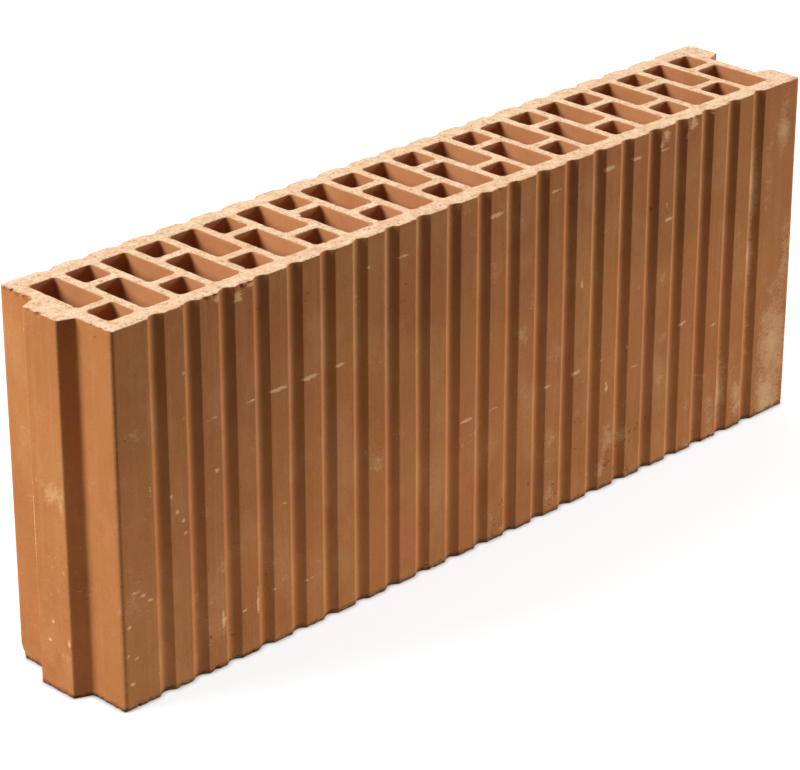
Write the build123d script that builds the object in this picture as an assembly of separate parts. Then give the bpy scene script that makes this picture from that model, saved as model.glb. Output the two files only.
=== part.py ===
from build123d import *
from math import cos, radians, sin, tan
import os

# Clay partition block: one extruded and fired piece with upright cells, scored long faces,
# a tongue on one end and the groove that takes it on the other. Both beds are ground flat.
# Frame: X along the block, Y through its thickness, Z up. The origin is the middle of the
# lower bed, measured over the tongue.

# Driving dimensions, in millimetres
body_length = 500.0        # laying length: end face beside the tongue to the tips of the wings
thickness = 80.0
height = 199.0
corner_radius = 2.0        # upright outer corners of the block

# Cells: two in each column, a short one and a long one, changing sides from column to column
column_count = 22
web = 5.5                  # between two columns
cross_web = 5.5            # between the short and the long cell of a column
face_shell = 10.8          # from a long face to the cells behind it
short_cell = 16.3          # length of the short cell across the block
cell_corner_radius = 2.2
tongue_end_wall = 8.0      # from the end face to the first column
groove_floor_wall = 5.7    # from the last column to the floor of the end groove

# Plaster keys: shallow upright grooves in both long faces, one behind each web
key_opening = 10.2
key_flank = 2.0            # straight part of each flank, measured along the face
key_flank_angle = 34.0     # degrees, from the face inwards
key_lip_radius = 0.6

# Tongue on one end, and the play it has in the groove of the next block
tongue_root = 31.5
tongue_tip = 24.0
tongue_projection = 9.0
joint_side_play = 4.0
joint_end_play = 1.0
joint_corner_radius = 1.2

# Sizes that follow from these
key_flank_depth = key_flank * tan(radians(key_flank_angle))
key_floor_radius = (key_opening / 2 - key_flank) / sin(radians(key_flank_angle))
key_depth = key_flank_depth + key_floor_radius * (1 - cos(radians(key_flank_angle)))
groove_depth = tongue_projection + joint_end_play
groove_mouth = tongue_root + 2 * joint_side_play
groove_floor = tongue_tip + 2 * joint_side_play
cells_length = body_length - tongue_end_wall - groove_floor_wall - groove_depth
cell_width = (cells_length - (column_count - 1) * web) / column_count
column_pitch = cell_width + web
long_cell = thickness - 2 * face_shell - cross_web - short_cell
face_y = thickness / 2
tongue_end_x = tongue_projection / 2 - body_length / 2
groove_end_x = tongue_end_x + body_length
first_column_x = tongue_end_x + tongue_end_wall + cell_width / 2


def trapezoid(start, end, start_width, end_width):
    # A trapezoid about the X axis, from x = start to x = end
    corners = [
        (start, -start_width / 2),
        (end, -end_width / 2),
        (end, end_width / 2),
        (start, start_width / 2),
    ]
    return make_face(Polyline(*corners, close=True))


def joint_corners(shape, x):
    # The two corners at one x that lie nearest to the X axis
    near = joint_corner_radius / 2
    corners = shape.vertices().filter_by_position(Axis.X, x - near, x + near)
    return sorted(corners, key=lambda corner: abs(corner.Y))[:2]


def outer_block():
    # Plain rectangle with rounded corners
    return Pos(tongue_end_x + body_length / 2) * RectangleRounded(body_length, thickness, corner_radius)


def end_tongue():
    # Stands out of the end face, with rounded tip corners
    tip_x = tongue_end_x - tongue_projection
    tongue = trapezoid(tongue_end_x, tip_x, tongue_root, tongue_tip)
    return fillet(joint_corners(tongue, tip_x), joint_corner_radius)


def end_groove():
    # Cut into the other end, with rounded floor corners
    floor_x = groove_end_x - groove_depth
    groove = trapezoid(groove_end_x, floor_x, groove_mouth, groove_floor)
    return fillet(joint_corners(groove, floor_x), joint_corner_radius)


def plaster_key():
    # One key about the Y axis, open at y = 0: two straight flanks run inwards to a round floor
    lip = key_opening / 2
    floor_edge = lip - key_flank
    flank_in = Line((-lip, 0), (-floor_edge, key_flank_depth))
    floor = ThreePointArc((-floor_edge, key_flank_depth), (0, key_depth), (floor_edge, key_flank_depth))
    flank_out = Line((floor_edge, key_flank_depth), (lip, 0))
    mouth = Line((lip, 0), (-lip, 0))
    return make_face([flank_in, floor, flank_out, mouth])


def plaster_keys():
    # A key behind each web, on the front face and on the back face
    keys = []
    for gap in range(column_count - 1):
        web_x = first_column_x + (gap + 0.5) * column_pitch
        keys.append(Pos(web_x, -face_y) * plaster_key())
        keys.append(Pos(web_x, face_y) * Rot(0, 0, 180) * plaster_key())
    return keys


def column_cells(column):
    # The short cell stands at the front in even columns and at the back in odd ones
    x = first_column_x + column * column_pitch
    side = -1 if column % 2 == 0 else 1
    short_y = side * (face_y - face_shell - short_cell / 2)
    long_y = -side * (face_y - face_shell - long_cell / 2)
    return [
        Pos(x, short_y) * RectangleRounded(cell_width, short_cell, cell_corner_radius),
        Pos(x, long_y) * RectangleRounded(cell_width, long_cell, cell_corner_radius),
    ]


def ease_joint(section):
    # Round the root of the tongue and the mouth of the groove
    section = fillet(joint_corners(section, tongue_end_x), joint_corner_radius)
    return fillet(joint_corners(section, groove_end_x), joint_corner_radius)


def ease_lips(section):
    # Round the lips of the keys, which are the only corners left on the two long faces
    lips = [
        corner
        for corner in section.vertices()
        if abs(abs(corner.Y) - face_y) < key_lip_radius / 2
        and first_column_x < corner.X < groove_end_x - groove_depth
    ]
    return fillet(lips, key_lip_radius)


def block_section():
    # The cross-section that the die gives the clay
    ends = ease_joint(outer_block() + end_tongue() - end_groove())
    outline = ease_lips(ends - plaster_keys())
    cells = [cell for column in range(column_count) for cell in column_cells(column)]
    return outline - cells


def clay_block():
    return extrude(block_section(), height)


os.makedirs("parts", exist_ok=True)
block = clay_block()
export_step(block, "parts/clay_block.step")
print("cell", round(cell_width, 2), "by", round(short_cell, 2), "and", round(long_cell, 2), "mm")
print("key", round(key_opening, 2), "wide and", round(key_depth, 2), "mm deep")
print("solid volume", round(block.volume / 1e6, 3), "litres")
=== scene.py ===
import math
import random

import bpy
from mathutils import Matrix, Vector, noise
from mathutils.geometry import delaunay_2d_cdt
from mathutils.kdtree import KDTree


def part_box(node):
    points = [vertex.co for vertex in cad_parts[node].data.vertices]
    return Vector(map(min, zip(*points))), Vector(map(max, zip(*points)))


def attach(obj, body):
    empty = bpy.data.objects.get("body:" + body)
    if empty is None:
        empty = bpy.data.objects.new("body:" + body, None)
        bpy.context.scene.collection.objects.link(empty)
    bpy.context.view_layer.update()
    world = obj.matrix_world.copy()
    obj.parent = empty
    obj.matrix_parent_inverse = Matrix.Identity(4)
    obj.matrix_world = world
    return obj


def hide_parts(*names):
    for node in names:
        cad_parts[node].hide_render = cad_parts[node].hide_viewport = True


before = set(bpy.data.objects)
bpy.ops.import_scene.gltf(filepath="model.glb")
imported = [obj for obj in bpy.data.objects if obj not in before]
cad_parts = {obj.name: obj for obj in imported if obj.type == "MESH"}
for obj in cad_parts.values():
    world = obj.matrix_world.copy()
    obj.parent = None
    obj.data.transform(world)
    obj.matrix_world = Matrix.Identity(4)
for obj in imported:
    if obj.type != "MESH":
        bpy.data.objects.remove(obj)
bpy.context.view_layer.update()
mm = 0.001  # the block is drawn in millimetres, Blender works in metres


# Clay block: the section that the die gives it, in millimetres

block = {
    "columns": 22, "web": 5.5, "crossWeb": 5.5, "faceShell": 10.8, "shortCell": 16.3, "cellCorner": 2.2,
    "tongueWall": 8.0, "grooveWall": 5.7, "outerCorner": 2.0,
    "keyOpening": 10.2, "keyFlank": 2.0, "keyAngle": 34, "keyLip": 0.6,
    "tongueRoot": 31.5, "tongueTip": 24.0, "tongueProud": 9.0,
    "sidePlay": 4.0, "endPlay": 1.0, "jointCorner": 1.2,
    "outerStep": 1.1, "cellStep": 1.7, "bedStep": 1.5,  # mesh spacing outside, in the cells, on the beds
    "arcStep": 30,                                      # most degrees that one edge of a round corner turns
    "outerRows": (0, 0.5, 1.1, 1.9, 3.0, 4.6, 7.0),     # rows of points next to a bed, on the outside
    "outerRise": 9.0,                                   # and the even rows between them
    "cellRows": (0, 0.6, 1.5, 3.2, 6.5, 14, 40),
    "netJitter": 0.3, "netClear": 0.55,                 # of the net on a bed, in steps: unevenness, gap
    "weld": 1e-7,                                       # points of a bed closer than this become one
    "sharpAngle": 38,                                   # edges that turn more degrees than this look sharp
    "seed": 7,
}

low, high = (Vector(corner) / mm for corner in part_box("clay_block"))
height = high.z - low.z
faceY = (high.y - low.y) / 2
endX = low.x + block["tongueProud"]      # end face beside the tongue
wingX = high.x                           # tips of the wings beside the groove
grooveDepth = block["tongueProud"] + block["endPlay"]
grooveMouth = block["tongueRoot"] + 2 * block["sidePlay"]
grooveFloor = block["tongueTip"] + 2 * block["sidePlay"]
cellsLength = wingX - endX - block["tongueWall"] - block["grooveWall"] - grooveDepth
cellWidth = (cellsLength - (block["columns"] - 1) * block["web"]) / block["columns"]
pitch = cellWidth + block["web"]
firstX = endX + block["tongueWall"] + cellWidth / 2
longCell = 2 * (faceY - block["faceShell"]) - block["crossWeb"] - block["shortCell"]


def roundedLoop(corners, step):
    # walks round the (x, y, radius) corners and cuts arcs and straight runs at about step;
    # gives the points, and for each a 1 where it lies on an arris of the clay
    count = len(corners)
    arcStep = math.radians(block["arcStep"])
    bends = []
    for i, (x, y, radius) in enumerate(corners):
        here = Vector((x, y))
        inward = (here - Vector(corners[i - 1][:2])).normalized()
        outward = (Vector(corners[(i + 1) % count][:2]) - here).normalized()
        turn = math.atan2(inward.x * outward.y - inward.y * outward.x, inward.dot(outward))
        start = here - inward * radius * math.tan(abs(turn) / 2)
        middle = start + Vector((-inward.y, inward.x)) * math.copysign(radius, turn)
        edges = max(math.ceil(abs(turn) / arcStep), round(abs(turn) * radius / step))
        turns = [Matrix.Rotation(turn * k / edges, 2) for k in range(edges + 1)]
        bends.append(([middle + part @ (start - middle) for part in turns], 1.0 if turn > 0 else 0.0))
    points, arris = [], []
    for i, (arc, outside) in enumerate(bends):
        run = bends[(i + 1) % count][0][0] - arc[-1]
        cuts = max(1, round(run.length / step))
        points += arc + [arc[-1] + run * (k / cuts) for k in range(1, cuts)]
        arris += [outside] * len(arc) + [0.0] * (cuts - 1)
    return points, arris


def keyCorners(x, side):
    # one plaster key: two lips, and the corner between its flanks that the floor rounds off
    walk = -side
    half = block["keyOpening"] / 2
    angle = math.radians(block["keyAngle"])
    floorRadius = (half - block["keyFlank"]) / math.sin(angle)
    return [
        (x - walk * half, side * faceY, block["keyLip"]),
        (x, side * (faceY - half * math.tan(angle)), floorRadius),
        (x + walk * half, side * faceY, block["keyLip"]),
    ]


def outerCorners():
    # against the clock, so that the clay is on the left
    webs = [firstX + (gap + 0.5) * pitch for gap in range(block["columns"] - 1)]
    outer, joint = block["outerCorner"], block["jointCorner"]
    corners = [(endX, -faceY, outer)]
    for x in webs:
        corners += keyCorners(x, -1)
    corners += [
        (wingX, -faceY, outer),
        (wingX, -grooveMouth / 2, joint),
        (wingX - grooveDepth, -grooveFloor / 2, joint),
        (wingX - grooveDepth, grooveFloor / 2, joint),
        (wingX, grooveMouth / 2, joint),
        (wingX, faceY, outer),
    ]
    for x in reversed(webs):
        corners += keyCorners(x, 1)
    corners += [
        (endX, faceY, outer),
        (endX, block["tongueRoot"] / 2, joint),
        (low.x, block["tongueTip"] / 2, joint),
        (low.x, -block["tongueTip"] / 2, joint),
        (endX, -block["tongueRoot"] / 2, joint),
    ]
    return corners


def cellCorners(x, y, length):
    # with the clock, which keeps the clay on the left here too
    half, radius = cellWidth / 2, block["cellCorner"]
    return [
        (x - half, y - length / 2, radius),
        (x - half, y + length / 2, radius),
        (x + half, y + length / 2, radius),
        (x + half, y - length / 2, radius),
    ]


def sectionLoops():
    # the outline first, then a short and a long cell for each column, which change sides
    loops = [roundedLoop(outerCorners(), block["outerStep"])]
    for column in range(block["columns"]):
        x = firstX + column * pitch
        side = -1 if column % 2 == 0 else 1
        for length, way in ((block["shortCell"], side), (longCell, -side)):
            y = way * (faceY - block["faceShell"] - length / 2)
            loops.append(roundedLoop(cellCorners(x, y, length), block["cellStep"]))
    return loops


loops = sectionLoops()
print("section drawn:", len(loops), "loops,", sum(len(points) for points, arris in loops), "points")


# Wear of the arrises and beds, in millimetres

wear = {
    # waviness of the extruded walls, slow and quick; upwards its patterns change by this share only
    "waveSize": 55.0, "wave": 0.28, "waveRise": 0.6,
    "rippleSize": 14.0, "ripple": 0.07, "rippleRise": 0.15,
    "bedSize": 5.0, "bed": 0.10, "bedFade": 3.0,  # unevenness left by grinding, and its reach down a wall
    "rub": 0.20, "rubReach": 0.6,                 # every arris is rubbed down this much
    # and broken back by a share of what its bed allows, in coarse and in fine bites
    "ragSize": 3.4, "ragFineSize": 1.3, "ragMean": 0.3, "rag": 0.7, "ragFine": 0.5, "ragLeast": 0.1,
    "tightBack": 0.22, "backPerGap": 0.3,         # most on a tight lip, and more per millimetre beside it
    "breakTall": 1.5, "breakFoot": 0.3,           # height of a break: times its depth, and this on top
    "chipRag": 0.5, "chipRagSize": 0.9, "chipRagRise": 0.6,  # how ragged the rim of a chip is
    "clear": 1.4,                                 # clay left between two chips
    "crumbOut": 0.35, "crumbDepth": (0.8, 1.5),   # a crumb's place off the arris and its depth, in radii
    "rawPerBite": 2.0, "rawPerBack": 1.5,         # how raw the clay looks for each millimetre it lost
}

# the two beds: their plane and the way into the clay, the layer of the chance patterns that they take,
# how far their arrises are broken back at most, crumbs knocked off at random outside and in the cells
# as (how many, from this radius, to that), and chips that stand out as (x, y, radius, depth)

upperBed = {
    "plane": height, "inward": -1, "layer": 1.5, "back": 0.45,
    "crumbs": ((45, 0.6, 1.4), (70, 0.5, 1.0)),
    "chips": (
        (-245.8, 35.4, 1.6, 2.0), (-245.8, 31.2, 1.4, 1.6), (-245.8, 27, 1.8, 2.2),
        (-245.8, 20.5, 1.9, 2.6), (-254.9, 1, 2.0, 1.6), (-254.9, 8, 1.2, 1.2),
        (-254.9, -6, 1.0, 1.0), (-245.9, -33, 1.2, 1.2), (-187.5, -40.6, 1.7, 2.4),
        (-182, -40.5, 1.2, 1.8), (-165, -40.6, 1.9, 2.6), (-160.5, -40.5, 1.2, 1.6),
        (139, -40.7, 1.1, 1.2), (144.5, -40.8, 1.3, 1.0), (161.5, -40.7, 1.0, 1.2),
        (166, -40.9, 1.5, 1.2), (183.5, -40.7, 1.0, 1.0), (188, -40.8, 1.3, 1.4),
        (207, -40.8, 1.2, 1.0), (256, 41.4, 4.4, 3.4), (255.1, 29, 1.6, 1.6),
        (255.7, -41.2, 2.9, 2.2), (256.4, -17, 4.0, 3.0), (-83.6, 1.5, 3.4, 7.0),
        (-105.6, 6, 1.6, 3.0), (-68.9, -28.1, 2.0, 2.4),
    ),
}

lowerBed = {
    "plane": 0.0, "inward": 1, "layer": 21.5, "back": 0.8,
    "crumbs": ((60, 0.8, 1.8), (50, 0.6, 1.2)),
    "chips": (
        (-246, 40.5, 4.6, 6.0), (-237, -40.8, 1.9, 2.2), (-230, -40.8, 1.6, 1.6),
        (-209, -40.8, 2.0, 1.8), (-187, -40.8, 2.2, 2.6), (-163, -40.8, 1.8, 1.8),
        (-246.2, -30, 1.6, 1.6), (256.0, -41.5, 3.4, 4.0), (255.4, 33, 2.2, 3.0),
    ),
}

beds = (upperBed, lowerBed)


def pointTree(points):
    tree = KDTree(len(points))
    for index, point in enumerate(points):
        tree.insert((point.x, point.y, 0), index)
    tree.balance()
    return tree


def loopNormals(points):
    # the side that points out of the clay, which is on the right of the loop
    normals = []
    for i in range(len(points)):
        along = points[(i + 1) % len(points)] - points[i - 1]
        normals.append(Vector((along.y, -along.x)).normalized())
    return normals


def insideLoop(point, loop):
    inside = False
    for i in range(len(loop)):
        a, b = loop[i - 1], loop[i]
        passes = (a.y > point.y) != (b.y > point.y)
        if passes and point.x < a.x + (point.y - a.y) * (b.x - a.x) / (b.y - a.y):
            inside = not inside
    return inside


def cloud(x, y, size, layer):
    # smooth chance pattern of about this size, from -1 to 1, and another one on each layer
    return noise.noise(Vector((x / size, y / size, layer)))


def chipFits(place, radius, walls, outward):
    # all the wall in reach has to face the chip, so that the cut never folds over itself
    reach = (1 + wear["chipRag"]) * radius
    return all(
        (place - spot.xy).dot(outward[index]) > 0
        for spot, index, _ in walls.find_range((place.x, place.y, 0), reach))


def scatterChips(side, chance):
    # chips as (place, radius, depth): the listed ones, then crumbs along the arrises, none on another;
    # comes with a tree of their places, and the reach of the largest
    walls = pointTree([p for points, arris in loops for p in points])
    outward = [n for points, arris in loops for n in loopNormals(points)]
    chips = [(Vector((x, y)), radius, depth) for x, y, radius, depth in side["chips"]]
    chips = [chip for chip in chips if chipFits(chip[0], chip[1], walls, outward)]
    print("listed chips kept:", len(chips), "of", len(side["chips"]))
    outside, inCells = loops[:1], loops[1:]
    for (count, least, most), group in zip(side["crumbs"], (outside, inCells)):
        for _ in range(count):
            points, arris = chance.choice(group)
            spot = chance.randrange(len(points))
            radius = least + (most - least) * chance.random() ** 2
            place = points[spot] + loopNormals(points)[spot] * wear["crumbOut"] * radius
            depth = radius * chance.uniform(*wear["crumbDepth"])
            alone = all(
                (place - other).length > radius + size + wear["clear"] for other, size, _ in chips)
            if alone and chipFits(place, radius, walls, outward):
                chips.append((place, radius, depth))
    reachMost = (1 + wear["chipRag"]) * max(radius for place, radius, depth in chips)
    return pointTree([place for place, radius, depth in chips]), chips, reachMost


def carve(point, depth, chips):
    # pushes a point of a wall, this far from the bed, back to the shell of the chip that took its place
    tree, shells, reachMost = chips
    pushed = 0.0
    for _, index, _ in tree.find_range((point.x, point.y, 0), reachMost):
        place, radius, deep = shells[index]
        if depth >= deep:
            continue
        away = point - place
        rim = place + away.normalized() * radius
        spot = Vector((rim.x, rim.y, wear["chipRagRise"] * depth)) / wear["chipRagSize"]
        ragged = 1 + wear["chipRag"] * noise.noise(spot)
        reach = radius * ragged * math.sqrt(1 - (depth / deep) ** 2)
        if away.length < reach:
            pushed = max(pushed, reach - away.length)
            point = place + away.normalized() * reach
    return point, pushed


def bedDrop(x, y, edge, layer):
    # how far a bed lies inside its plane; edge is the distance to the nearest arris
    rub = wear["rub"] * math.exp(-(edge / wear["rubReach"]) ** 2)
    uneven = 0.5 + 0.5 * cloud(x, y, wear["bedSize"], layer)
    return rub + wear["bed"] * uneven


def arrisBack(points, arris, most, layer):
    # how far each point of a rim is broken back, less near the tight lips so that no edge folds
    count = len(points)
    gaps = [0.0 if sharp else most / wear["backPerGap"] for sharp in arris]
    for walk in (range(2 * count), range(2 * count, 0, -1)):
        for i in walk:
            here, before = i % count, (i - walk.step) % count
            gaps[here] = min(gaps[here], gaps[before] + (points[here] - points[before]).length)
    backs = []
    for point, gap in zip(points, gaps):
        coarse = cloud(point.x, point.y, wear["ragSize"], layer)
        fine = cloud(point.x, point.y, wear["ragFineSize"], layer)
        share = wear["ragMean"] + wear["rag"] * coarse + wear["ragFine"] * fine
        share = min(1.0, max(wear["ragLeast"], share))
        backs.append(share * min(most, wear["tightBack"] + wear["backPerGap"] * gap))
    return backs


def wallSwell(x, y, z):
    # how far a wall stands out of its true plane
    slow = noise.noise(Vector((x, y, z * wear["waveRise"])) / wear["waveSize"])
    quick = noise.noise(Vector((x, y, z * wear["rippleRise"])) / wear["rippleSize"])
    return wear["wave"] * slow + wear["ripple"] * quick


def wornSpot(point, normal, z, backs, chips):
    # where the wear of both beds leaves a point of a wall, and how raw it looks, from 0 to 1
    back, rise, bite = 0.0, 0.0, 0.0
    for side, most in zip(beds, backs):
        depth = abs(z - side["plane"])
        back += most * max(0.0, 1 - depth / (wear["breakTall"] * most + wear["breakFoot"]))
        near = max(0.0, 1 - depth / wear["bedFade"])
        rise += side["inward"] * bedDrop(point.x, point.y, 0, side["layer"]) * near
    spot = point + normal * (wallSwell(point.x, point.y, z) - back)
    for side, sideChips in zip(beds, chips):
        spot, bitten = carve(spot, abs(z - side["plane"]), sideChips)
        bite = max(bite, bitten)
    raw = min(1.0, wear["rawPerBite"] * bite + wear["rawPerBack"] * back)
    return Vector((spot.x, spot.y, z + rise)), raw


def wallLevels(rows, rise):
    # heights of the rows of points on a wall, close together next to the beds
    span = height - 2 * rows[-1]
    cuts = max(1, round(span / rise))
    middle = [rows[-1] + span * k / cuts for k in range(1, cuts)]
    return [*rows, *middle, *(height - row for row in reversed(rows))]


def bedNet(rims, chance):
    # an uneven net of points over the clay, each with its distance from the nearest arris
    points = [p for rim in rims for p in rim]
    outward = [n for rim in rims for n in loopNormals(rim)]
    owner = [rim for rim in rims for _ in rim]
    tree = pointTree(points)
    step, jitter = block["bedStep"], block["netJitter"]
    rowStep = step * math.sqrt(0.75)  # makes even triangles
    net = []
    for row in range(int((high.y - low.y) / rowStep) + 1):
        for column in range(int((high.x - low.x) / step) + 1):
            x = low.x + (column + 0.5 * (row % 2) + chance.uniform(-jitter, jitter)) * step
            y = low.y + (row + chance.uniform(-jitter, jitter)) * rowStep
            point = Vector((x, y))
            spot, index, away = tree.find((x, y, 0))
            if away < block["netClear"] * step or (point - spot.xy).dot(outward[index]) > 0:
                continue
            # in a cell's corner the nearest rim can face the wrong way, so look there twice
            if owner[index] is rims[0] or not insideLoop(point, owner[index]):
                net.append((point, away))
    return net


def bedTriangles(rims, net):
    # corner triples over the clay, counted through the rims and then the net
    points = [p for rim in rims for p in rim] + [p for p, away in net]
    edges, owner = [], []
    for number, rim in enumerate(rims):
        first = len(owner)
        edges += [(first + i, first + (i + 1) % len(rim)) for i in range(len(rim))]
        owner += [number] * len(rim)
    owner += [-1] * len(net)
    _, _, triangles, origins, _, _ = delaunay_2d_cdt(points, edges, [], 0, block["weld"], True)
    kept = []
    for triangle in triangles:
        a, b, c = (origins[v][0] for v in triangle)
        if owner[a] == owner[b] == owner[c] >= 0:
            middle = (points[a] + points[b] + points[c]) / 3
            if insideLoop(middle, rims[owner[a]]) != (owner[a] == 0):
                continue
        turn = (points[b] - points[a]).cross(points[c] - points[a])
        kept.append((a, b, c) if turn > 0 else (a, c, b))
    return kept


skinFace, bedFace, cellFace = 0, 1, 2  # order of the materials on the block


def addPoint(made, spot, worn=0.0, arris=0.0, edge=0.0):
    for name, value in (("verts", spot), ("worn", worn), ("arris", arris), ("edge", edge)):
        made[name].append(value)


def addWall(made, loop, arris, levels, chips, kind):
    # one wall of the section from bed to bed; gives the vertex numbers of its lower and upper rim
    count, first = len(loop), len(made["verts"])
    normals = loopNormals(loop)
    backs = list(zip(*(arrisBack(loop, arris, side["back"], side["layer"]) for side in beds)))
    for z in levels:
        for point, normal, sharp, back in zip(loop, normals, arris, backs):
            spot, raw = wornSpot(point, normal, z, back, chips)
            addPoint(made, spot, worn=raw, arris=sharp)
    for k in range(len(levels) - 1):
        a, b = first + k * count, first + (k + 1) * count
        for i in range(count):
            j = (i + 1) % count
            made["faces"].append((a + i, a + j, b + j, b + i))
            made["kinds"].append(kind)
    last = first + (len(levels) - 1) * count
    return range(first, first + count), range(last, last + count)


def addBed(made, side, rimVerts, chance):
    # closes one bed between the rims of the walls
    rims = [[made["verts"][v].xy for v in rim] for rim in rimVerts]
    net = bedNet(rims, chance)
    index = [v for rim in rimVerts for v in rim]
    for point, away in net:
        index.append(len(made["verts"]))
        drop = bedDrop(point.x, point.y, away, side["layer"])
        addPoint(made, Vector((point.x, point.y, side["plane"] + side["inward"] * drop)), edge=away)
    for a, b, c in bedTriangles(rims, net):
        corners = (a, b, c) if side["inward"] < 0 else (a, c, b)
        made["faces"].append([index[v] for v in corners])
        made["kinds"].append(bedFace)


def buildBlock():
    chance = random.Random(block["seed"])
    chips = [scatterChips(side, chance) for side in beds]
    outerLevels = wallLevels(block["outerRows"], block["outerRise"])
    cellLevels = wallLevels(block["cellRows"], height)  # no even rows in the cells
    made = {"verts": [], "worn": [], "arris": [], "edge": [], "faces": [], "kinds": []}
    rims = []
    for number, (loop, arris) in enumerate(loops):
        levels, kind = (outerLevels, skinFace) if number == 0 else (cellLevels, cellFace)
        rims.append(addWall(made, loop, arris, levels, chips, kind))
    lower, upper = zip(*rims)
    addBed(made, lowerBed, lower, chance)
    addBed(made, upperBed, upper, chance)

    mesh = bpy.data.meshes.new("clayBlock")
    mesh.from_pydata([v * mm for v in made["verts"]], [], made["faces"])
    mesh.polygons.foreach_set("material_index", made["kinds"])
    mesh.polygons.foreach_set("use_smooth", [True] * len(made["faces"]))
    mesh.set_sharp_from_angle(angle=math.radians(block["sharpAngle"]))
    for name in ("worn", "arris", "edge"):
        mesh.attributes.new(name, "FLOAT", "POINT").data.foreach_set("value", made[name])
    mesh.validate()
    built = bpy.data.objects.new("clayBlock", mesh)
    bpy.context.scene.collection.objects.link(built)
    triangles = sum(len(face) - 2 for face in made["faces"])
    print("block built:", len(made["verts"]), "points,", triangles, "triangles")
    return built


clayBlock = buildBlock()
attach(clayBlock, "root")
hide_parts("clay_block")


# Materials

firedClay = {
    "ior": 1.5,
    "cloudy": 0.6,             # how rough the cloudy patterns are
    "cloudRange": (0.3, 0.7),  # and the values that they mostly have
}


def linear(hexColour):
    # sRGB hex to the linear values that shader sockets take
    parts = [int(hexColour[i:i + 2], 16) / 255 for i in (1, 3, 5)]
    return (*(c / 12.92 if c <= 0.04045 else ((c + 0.055) / 1.055) ** 2.4 for c in parts), 1.0)


def perMetre(size):
    # texture scale that gives a pattern of about this size in millimetres
    return 1 / (size * mm)


def addNode(tree, kind, inputs=None, **settings):
    made = tree.nodes.new(kind)
    for name, value in settings.items():
        setattr(made, name, value)
    for socket, value in (inputs or {}).items():
        if isinstance(value, bpy.types.NodeSocket):
            tree.links.new(value, made.inputs[socket])
        else:
            made.inputs[socket].default_value = value
    return made


def newMaterial(name):
    material = bpy.data.materials.new(name)
    material.use_nodes = True
    material.node_tree.nodes.clear()
    return material, material.node_tree


def clayPatterns(tree, place, look):
    # cloudy patterns by name: size in millimetres, how many times as tall as wide, and fineness;
    # and with them where the clay is worn
    found = {"worn": addNode(tree, "ShaderNodeAttribute", attribute_name="worn").outputs["Fac"]}
    for name, (size, tall, detail) in look["patterns"].items():
        drawn = addNode(tree, "ShaderNodeMapping", {"Vector": place, "Scale": (1, 1, 1 / tall)})
        found[name] = addNode(tree, "ShaderNodeTexNoise", {
            "Vector": drawn.outputs["Vector"], "Scale": perMetre(size), "Detail": detail,
            "Roughness": firedClay["cloudy"],
        }).outputs["Fac"]
    return found


def paintLayers(tree, found, look):
    # lays each (pattern, where it starts to show, where it is full, most that it covers, colour)
    # over the colour below it
    colour = linear(look["mid"])
    for pattern, start, full, most, shade in look["layers"]:
        mask = addNode(tree, "ShaderNodeMapRange", {
            "Value": found[pattern], "From Min": start, "From Max": full, "To Max": most})
        colour = addNode(tree, "ShaderNodeMix", {
            0: mask.outputs["Result"], 6: colour, 7: linear(look[shade])}, data_type="RGBA").outputs[2]
    return colour


def softMarks(tree, place, marks, ragged, breakUp):
    # soft spots at listed places with listed half sizes, in millimetres, broken up this much by a pattern
    total = addNode(tree, "ShaderNodeMath", {
        0: ragged, 1: breakUp, 2: -breakUp / 2}, operation="MULTIPLY_ADD").outputs[0]
    for centre, half, strength in marks:
        spot = addNode(tree, "ShaderNodeMapping", {
            "Vector": place, "Location": [c * mm for c in centre], "Scale": [h * mm for h in half],
        }, vector_type="TEXTURE")
        ball = addNode(tree, "ShaderNodeTexGradient", {
            "Vector": spot.outputs["Vector"]}, gradient_type="SPHERICAL")
        total = addNode(tree, "ShaderNodeMath", {
            0: ball.outputs["Fac"], 1: strength, 2: total}, operation="MULTIPLY_ADD").outputs[0]
    return total


def mattClay(tree, look, colour, roughness, relief):
    # what all three surfaces end in: a dry, matt shader with fine relief
    strength, deep = look["bump"]
    bump = addNode(tree, "ShaderNodeBump", {"Height": relief, "Strength": strength, "Distance": deep * mm})
    shader = addNode(tree, "ShaderNodeBsdfPrincipled", {
        "Base Color": colour, "Roughness": roughness, "IOR": firedClay["ior"],
        "Specular IOR Level": look["gloss"], "Normal": bump.outputs["Normal"]})
    addNode(tree, "ShaderNodeOutputMaterial", {"Surface": shader.outputs["BSDF"]})


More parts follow.
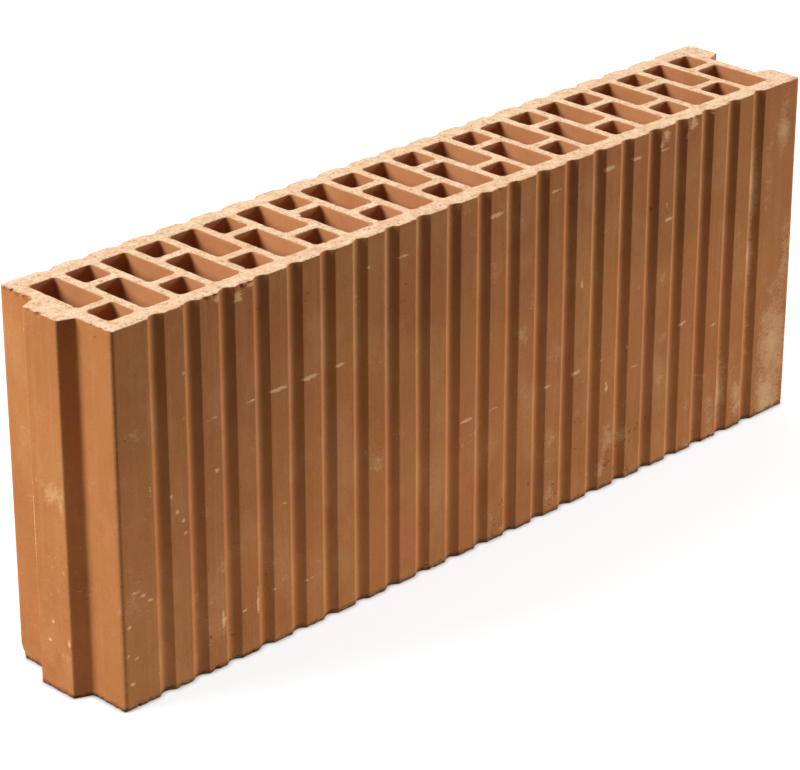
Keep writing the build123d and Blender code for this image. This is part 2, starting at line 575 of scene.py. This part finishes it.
skin = {
    "mid": "#C8824C", "dark": "#A8653A", "pale": "#DDA26C", "raw": "#A3613A",
    "ochre": "#BE8A48", "rust": "#C9784D",
    # dent is painted shade: dark spots for the shadow inside small dents, which the relief does not carry
    # foot is painted shade: the dark line along the bottom edge, where the underside and the floor shade
    # the clay
    "scuff": "#FAC68E", "bloom": "#F8C894", "dent": "#5E3520", "footShade": "#4E2D1B",
    "roughness": (0.80, 0.95), "gloss": 0.15, "bump": (0.3, 0.4),  # bump: strength, millimetres
    "patterns": {
        "mottle": (80, 1, 4), "warm": (48, 1.5, 3), "blotch": (22, 1.6, 3), "stain": (15, 1.1, 4),
        "streak": (3.5, 40, 2), "cluster": (45, 1, 2),
        "dent": (3.0, 1, 2), "fleck": (2.6, 0.8, 1), "ragged": (2.4, 0.45, 3),
        "grain": (1.3, 1, 2),  # sand is finer than this, which would not show
    },
    "layers": (
        ("warm", 0.50, 0.66, 0.2, "ochre"),
        ("warm", 0.48, 0.34, 0.4, "rust"),
        ("mottle", 0.42, 0.75, 0.6, "dark"),
        ("blotch", 0.50, 0.78, 0.45, "pale"),
        ("stain", 0.42, 0.36, 0.15, "dark"),
        ("streak", 0.52, 0.80, 0.20, "pale"),
        ("grain", 0.52, 0.75, 0.35, "dark"),
        ("edges", 0.40, 0.75, 0.3, "pale"),
        ("flecks", 0.48, 0.54, 0.3, "scuff"),
        ("salts", 0.98, 1.24, 0.22, "bloom"),
        ("salts", 1.18, 2.05, 0.62, "bloom"),
        ("scuffs", 0.44, 0.80, 0.92, "scuff"),
        # painted shade: small dark spots stand in for the shadow inside dents
        ("dentShades", 0.41, 0.46, 0.6, "dent"),
        ("worn", 0.15, 0.90, 0.8, "raw"),
        # painted shade along the foot: the lowest few millimetres of the outside walls turn dark
        ("footShade", 0.0062, 0.0034, 0.85, "footShade"),  # metres above the floor
    ),
    "footShadeRag": 0.006,                  # and how much of that is ragged
    "scuffBreak": 1.8,                 # how much the scuffs are broken up
    "saltBreak": 2.4, "crust": 0.5,    # the same for the stains, and how crusty they are
    "scuffDeep": 1.5, "saltDeep": 8.0,         # how far marks reach in from the front: lands, or keys too
    "endScuffDeep": 3.0, "endSaltDeep": 5.0,   # and from the tongue end
    # rubbed spots on the front's lands: along from the tongue end, up, half length, half height, strength
    "scuffs": (
        (60, 136, 6, 2.0, 0.6), (86, 137, 6, 2.0, 0.6), (102, 137.5, 9, 2.8, 1.1), (123, 137, 9, 2.6, 1.1),
        (144, 137, 7, 2.2, 0.8), (164, 183, 7, 2.0, 0.6), (188, 182, 7, 2.4, 0.7), (254, 185, 9, 2.8, 1.1),
        (299, 186, 6, 2.2, 0.8), (340, 187, 9, 3.0, 1.1), (363, 187, 8, 2.4, 0.8), (385, 186, 7, 2.0, 0.6),
        (106, 75, 5, 2.0, 0.6), (234, 77, 7, 2.2, 0.8), (256, 77, 5, 2.0, 0.7), (293, 76, 7, 2.3, 1.0),
        (317, 77, 8, 2.6, 1.0), (338, 78, 5, 2.0, 0.6), (358, 79, 6, 2.2, 0.8), (405, 79, 7, 2.5, 0.9),
        (65, 26, 3.0, 3.0, 0.8), (78, 26, 5, 2.0, 0.7), (98, 30, 4, 2.0, 0.6), (120, 27, 8, 2.0, 0.7),
        (8, 62, 3.5, 2.0, 0.8), (13, 59, 3.5, 2.0, 0.8), (18, 55, 3.5, 1.6, 0.8), (33, 104, 2.0, 3.5, 0.7),
        (36, 95, 2.0, 3.5, 0.7), (40, 89, 2.0, 3.0, 0.7), (20, 112, 1.6, 7, 0.6), (43, 165, 1.6, 5, 0.7),
        (65, 196, 5, 5, 0.7), (78, 193, 6, 7, 0.9), (86, 197, 5, 4, 0.7), (378, 198, 6, 5, 1.0),
        (387, 194, 5, 7, 0.8), (383, 189, 3, 5, 0.7), (400, 198, 6, 5, 1.0), (409, 195, 5, 8, 0.9),
        (404, 189, 3, 5, 0.7), (424, 197, 4, 6, 0.9), (424, 188, 2.4, 9, 0.7), (391, 145, 5, 2.4, 0.9),
        (389, 153, 1.8, 5, 0.7),
        (64, 26, 1.4, 18, 0.8), (87, 28, 1.4, 16, 0.9), (4, 45, 2.2, 2.6, 0.8), (3, 30, 2.0, 3.0, 0.7),
        (8, 27, 2.4, 2.0, 0.7), (5, 14, 2.2, 4.0, 0.8), (62, 108, 2.4, 3.0, 0.8), (41, 82, 2.4, 2.6, 0.7),
        (322, 128, 2.0, 8, 0.7), (344, 60, 2.2, 9, 0.7), (366, 66, 6, 2.0, 0.6), (432, 70, 5, 2.0, 0.6),
    ),
    "scuffScale": (1.1, 0.72, 1.35),  # on the half length, half height and strength of all these
    # the same on the tongue end: across from the middle, up, half width, half height, strength
    "endScuffs": (
        (12, 86, 1.4, 42, 1.3), (12, 150, 1.4, 45, 0.4), (12, 187, 1.8, 3.5, 0.8),
        (1, 38, 2.4, 2.0, 0.9), (4, 27, 2.2, 2.0, 1.0), (-10.5, 30, 1.6, 4.5, 1.0), (-23, 104, 4, 10, 0.6),
        (-28, 24, 5, 6, 0.6),
    ),
    # pale dried-on stains on the front, also down in the keys, and on the tongue end
    "salts": (
        (465, 146, 6, 26, 1.5), (465, 105, 5, 30, 1.0), (465, 58, 5, 34, 1.0), (489, 172, 8, 26, 1.2),
        (494, 96, 8, 30, 0.8), (488, 40, 18, 48, 1.4), (482, 8, 18, 20, 1.2), (443, 25, 6, 36, 1.2),
        (456, 20, 8, 30, 0.9), (432, 12, 8, 20, 0.8), (410, 16, 8, 26, 0.6), (341, 10, 6, 16, 0.8),
        (358, 24, 5, 8, 0.7), (388, 112, 5, 9, 0.4), (300, 14, 8, 20, 0.6),
        (389, 60, 6, 30, 0.5), (345, 40, 6, 26, 0.5), (476, 140, 5, 30, 0.6), (254, 150, 6, 30, 0.35),
        (276, 110, 7, 26, 0.35), (212, 60, 7, 30, 0.35), (168, 100, 7, 34, 0.3), (104, 40, 7, 24, 0.35),
    ),
    "endSalts": ((-3, 107, 11, 10, 1.1), (-9, 99, 6, 12, 0.7), (4, 60, 6, 40, 0.3), (-28, 40, 6, 30, 0.3)),
}


def marksOnSkin(front, frontDeep, end, endDeep):
    # listed marks of the front and of the tongue end as (place, half sizes, strength)
    marks = [((endX + x, -faceY, z), (wide, frontDeep, tall), most) for x, z, wide, tall, most in front]
    marks += [((low.x, y, z), (endDeep, wide, tall), most) for y, z, wide, tall, most in end]
    return marks


def extrudedClaySkin():
    # Fired brick clay as it left the die: matt and warm, with faint upright drag lines, dusty where rubbed
    material, tree = newMaterial("firedClay_extrudedSkin")
    place = addNode(tree, "ShaderNodeTexCoord").outputs["Object"]
    found = clayPatterns(tree, place, skin)
    arris = addNode(tree, "ShaderNodeAttribute", attribute_name="arris").outputs["Fac"]
    up = addNode(tree, "ShaderNodeSeparateXYZ", {"Vector": place}).outputs["Z"]
    longer, taller, stronger = skin["scuffScale"]
    rubbed = [
        (x, z, longer * wide, taller * tall, stronger * most)
        for x, z, wide, tall, most in skin["scuffs"]]
    rubbed = marksOnSkin(rubbed, skin["scuffDeep"], skin["endScuffs"], skin["endScuffDeep"])
    salted = marksOnSkin(skin["salts"], skin["saltDeep"], skin["endSalts"], skin["endSaltDeep"])
    crusty = addNode(tree, "ShaderNodeMath", {
        0: found["ragged"], 1: skin["crust"], 2: found["stain"]}, operation="MULTIPLY_ADD").outputs[0]
    found["scuffs"] = softMarks(tree, place, rubbed, found["ragged"], skin["scuffBreak"])
    found["salts"] = softMarks(tree, place, salted, crusty, skin["saltBreak"])
    # painted shade along the foot: darker towards the bottom of the outside walls, with a ragged top
    found["footShade"] = addNode(tree, "ShaderNodeMath", {
        0: found["ragged"], 1: skin["footShadeRag"], 2: up}, operation="MULTIPLY_ADD").outputs[0]
    # the dent spots are painted shade, shown most where the clay is dark
    for name, first, second in (
            ("dentShades", found["dent"], found["mottle"]),     # dents show most where the clay is dark
            ("flecks", found["fleck"], found["cluster"]),  # flecks come in groups
            ("edges", arris, found["ragged"])):            # upright arrises are rubbed pale in places
        found[name] = addNode(tree, "ShaderNodeMath", {
            0: first, 1: second}, operation="MULTIPLY").outputs[0]
    colour = paintLayers(tree, found, skin)
    relief = addNode(tree, "ShaderNodeMath", {
        0: found["streak"], 1: found["grain"]}, operation="ADD").outputs[0]
    (least, most), (smooth, dry) = firedClay["cloudRange"], skin["roughness"]
    rough = addNode(tree, "ShaderNodeMapRange", {
        "Value": found["grain"], "From Min": least, "From Max": most, "To Min": smooth, "To Max": dry})
    mattClay(tree, skin, colour, rough.outputs["Result"], relief)
    return material


bed = {
    "mid": "#F0CEAA", "chalk": "#F5DABA", "sand": "#D6AA80", "blush": "#E6B993", "tan": "#DDAB80",
    # pit is painted shade: the dark inside of the open pores
    "speck": "#B08A6C", "pit": "#74492F", "arris": "#B97A4E", "raw": "#B07048",
    "roughness": 0.95, "gloss": 0.1, "bump": (0.5, 0.5),
    "patterns": {
        "speck": (2.8, 1, 3), "pit": (4.2, 1, 3), "blot": (6, 1, 3), "patch": (26, 1, 3),
        "grain": (1.3, 1, 3),  # coarser than the sand here too
    },
    "layers": (
        ("patch", 0.42, 0.72, 0.6, "blush"),
        ("blot", 0.50, 0.68, 0.8, "tan"),
        ("blot", 0.48, 0.32, 0.9, "chalk"),
        ("grain", 0.50, 0.66, 0.75, "sand"),
        ("grain", 0.46, 0.30, 0.5, "chalk"),
        ("speck", 0.56, 0.68, 0.75, "speck"),
        ("border", 2.05, 1.25, 0.5, "arris"),  # millimetres from an arris, with the rag added
        # painted shade in the pores, on top of their bump
        ("pit", 0.69, 0.74, 0.8, "pit"),
        ("worn", 0.15, 0.90, 0.6, "raw"),
    ),
    "borderRag": 2.5,  # how ragged the border is where the dust is rubbed off
}


def groundClayBed():
    # Fired clay ground flat across its grain: dusty pale cream, sandy, with small open pores whose dark
    # inside is painted shade
    material, tree = newMaterial("firedClay_groundBed")
    place = addNode(tree, "ShaderNodeTexCoord").outputs["Object"]
    found = clayPatterns(tree, place, bed)
    edge = addNode(tree, "ShaderNodeAttribute", attribute_name="edge").outputs["Fac"]
    found["border"] = addNode(tree, "ShaderNodeMath", {
        0: found["speck"], 1: bed["borderRag"], 2: edge}, operation="MULTIPLY_ADD").outputs[0]
    colour = paintLayers(tree, found, bed)
    pores = addNode(tree, "ShaderNodeMath", {
        0: found["grain"], 1: found["pit"]}, operation="SUBTRACT").outputs[0]
    mattClay(tree, bed, colour, bed["roughness"], pores)
    return material


cell = {
    "mid": "#C28558", "dark": "#A96C43", "pale": "#D09A6C", "dust": "#DDB48F",
    "roughness": 0.88, "gloss": 0.15, "bump": (0.1, 0.3),
    "patterns": {"mottle": (40, 1, 3), "streak": (2.2, 50, 2), "grain": (1.4, 1, 2)},
    "layers": (
        ("mottle", 0.40, 0.70, 0.6, "dark"),
        ("streak", 0.52, 0.75, 0.12, "pale"),
        ("grain", 0.55, 0.75, 0.3, "dark"),
        ("worn", 0.15, 0.90, 0.7, "dust"),
    ),
}


def extrudedCellClay():
    # Fired clay in the cells: drawn smooth by the die's cores, faintly lined, dusty only at broken rims
    material, tree = newMaterial("firedClay_cellWall")
    place = addNode(tree, "ShaderNodeTexCoord").outputs["Object"]
    found = clayPatterns(tree, place, cell)
    colour = paintLayers(tree, found, cell)
    mattClay(tree, cell, colour, cell["roughness"], found["streak"])
    return material


for surface in (extrudedClaySkin(), groundClayBed(), extrudedCellClay()):
    clayBlock.data.materials.append(surface)
print("materials made")


# Stage: pale floor, white surround, soft studio light

stage = {
    "floorSize": 8.0,
    "floorSeen": "#8C8C8C", "floorLift": 0.85,  # to the eye the floor is part lit and part plain white
    "contact": 0.003, "contactDark": 0.9,       # reach in metres and depth of the shadow under the block
    "floorBounce": "#605E5C",                   # to the object a mid grey, so its shade side stays dark
    "surround": 0.04,                           # what the white surround gives the object, 1 for the eye
    "white": (1, 1, 1, 1),
}


def seenRays(tree):
    # 1 for what the camera sees, straight or in a reflection, and 0 for light on its way to the object
    rays = addNode(tree, "ShaderNodeLightPath").outputs
    straight = addNode(tree, "ShaderNodeMath", {
        0: rays["Is Camera Ray"], 1: rays["Is Glossy Ray"]}, operation="MAXIMUM").outputs[0]
    return addNode(tree, "ShaderNodeMath", {
        0: straight, 1: rays["Is Transmission Ray"]}, operation="MAXIMUM").outputs[0]


def paleFloor():
    half = stage["floorSize"] / 2
    mesh = bpy.data.meshes.new("paleFloor")
    corners = [(-half, -half, 0), (half, -half, 0), (half, half, 0), (-half, half, 0)]
    mesh.from_pydata(corners, [], [(0, 1, 2, 3)])
    floor = bpy.data.objects.new("paleFloor", mesh)
    bpy.context.scene.collection.objects.link(floor)
    material, tree = newMaterial("paleFloor_matt")
    # painted contact shadow: ambient occlusion darkens the floor's glow close under the block
    closeBy = addNode(tree, "ShaderNodeAmbientOcclusion", {"Distance": stage["contact"]}).outputs["AO"]
    openFloor = addNode(tree, "ShaderNodeMath", {
        0: closeBy, 1: stage["contactDark"]}, operation="POWER").outputs[0]
    lift = addNode(tree, "ShaderNodeMath", {
        0: openFloor, 1: stage["floorLift"]}, operation="MULTIPLY").outputs[0]
    glow = addNode(tree, "ShaderNodeEmission", {"Color": stage["white"], "Strength": lift})
    matt = addNode(tree, "ShaderNodeBsdfDiffuse", {"Color": linear(stage["floorSeen"])})
    seen = addNode(tree, "ShaderNodeAddShader", {0: matt.outputs[0], 1: glow.outputs[0]})
    bounce = addNode(tree, "ShaderNodeBsdfDiffuse", {"Color": linear(stage["floorBounce"])})
    both = addNode(tree, "ShaderNodeMixShader", {
        0: seenRays(tree), 1: bounce.outputs[0], 2: seen.outputs[0]})
    addNode(tree, "ShaderNodeOutputMaterial", {"Surface": both.outputs[0]})
    mesh.materials.append(material)
    floor.location.z = low.z * mm


def whiteSurround():
    world = bpy.data.worlds.new("whiteSurround")
    world.use_nodes = True
    tree = world.node_tree
    tree.nodes.clear()
    strength = addNode(tree, "ShaderNodeMapRange", {
        "Value": seenRays(tree), "To Min": stage["surround"], "To Max": 1.0}).outputs["Result"]
    sky = addNode(tree, "ShaderNodeBackground", {"Color": stage["white"], "Strength": strength})
    addNode(tree, "ShaderNodeOutputWorld", {"Surface": sky.outputs[0]})
    bpy.context.scene.world = world


lamps = {  # place and aim in metres, width, height, watts
    "keySoftbox": ((-2.3, 1.2, 1.75), (-0.1, 0, 0.1), 1.3, 1.3, 108),
    "overheadSoftbox": ((0.9, 0.5, 2.0), (0.15, 0, 0.1), 1.1, 1.1, 19),
    "fillSoftbox": ((3.16, -1.41, 1.0), (0, 0, 0.1), 1.1, 1.8, 93),
    "bounceCard": ((-0.12, -0.19, 0.012), (-0.12, -0.04, 0.012), 1.0, 0.02, 0.24),
}


def softbox(name):
    place, aim, width, tall, watts = lamps[name]
    light = bpy.data.lights.new(name, "AREA")
    light.shape = "RECTANGLE"
    light.size = width
    light.size_y = tall
    light.energy = watts
    lamp = bpy.data.objects.new(name, light)
    lamp.location = place
    lamp.rotation_euler = (Vector(aim) - Vector(place)).to_track_quat("-Z", "Y").to_euler()
    lamp.visible_camera = False
    bpy.context.scene.collection.objects.link(lamp)
    return lamp


def lightOnlyBlock(lamp):
    # keeps a lamp off the floor
    lit = bpy.data.collections.new("litByCard")
    lit.objects.link(clayBlock)
    lamp.light_linking.receiver_collection = lit


paleFloor()
whiteSurround()
hung = {name: softbox(name) for name in lamps}
lightOnlyBlock(hung["bounceCard"])  # on the floor the card would draw its own edge
print("stage and lamps set")


# Camera at the photograph's viewing angle

view = {
    "azimuth": -45.1, "elevation": 24.5, "distance": 1.662,  # degrees and metres
    "aim": (-0.01485, 0.00463, 0.08407),
    "focal": 3174, "width": 800, "sensor": 36.0,             # focal length in pixels of an 800 x 770 frame
}


def setCamera():
    lens = bpy.data.cameras.new("photoCamera")
    lens.sensor_width = view["sensor"]
    lens.lens = view["focal"] / view["width"] * view["sensor"]
    camera = bpy.data.objects.new("photoCamera", lens)
    azimuth, elevation = math.radians(view["azimuth"]), math.radians(view["elevation"])
    level = math.cos(elevation)
    back = Vector((math.sin(azimuth) * level, -math.cos(azimuth) * level, math.sin(elevation)))
    camera.location = Vector(view["aim"]) + back * view["distance"]
    camera.rotation_euler = back.to_track_quat("Z", "Y").to_euler()
    bpy.context.scene.collection.objects.link(camera)
    bpy.context.scene.camera = camera


setCamera()
bpy.context.scene.view_settings.view_transform = "Standard"
print("camera set")
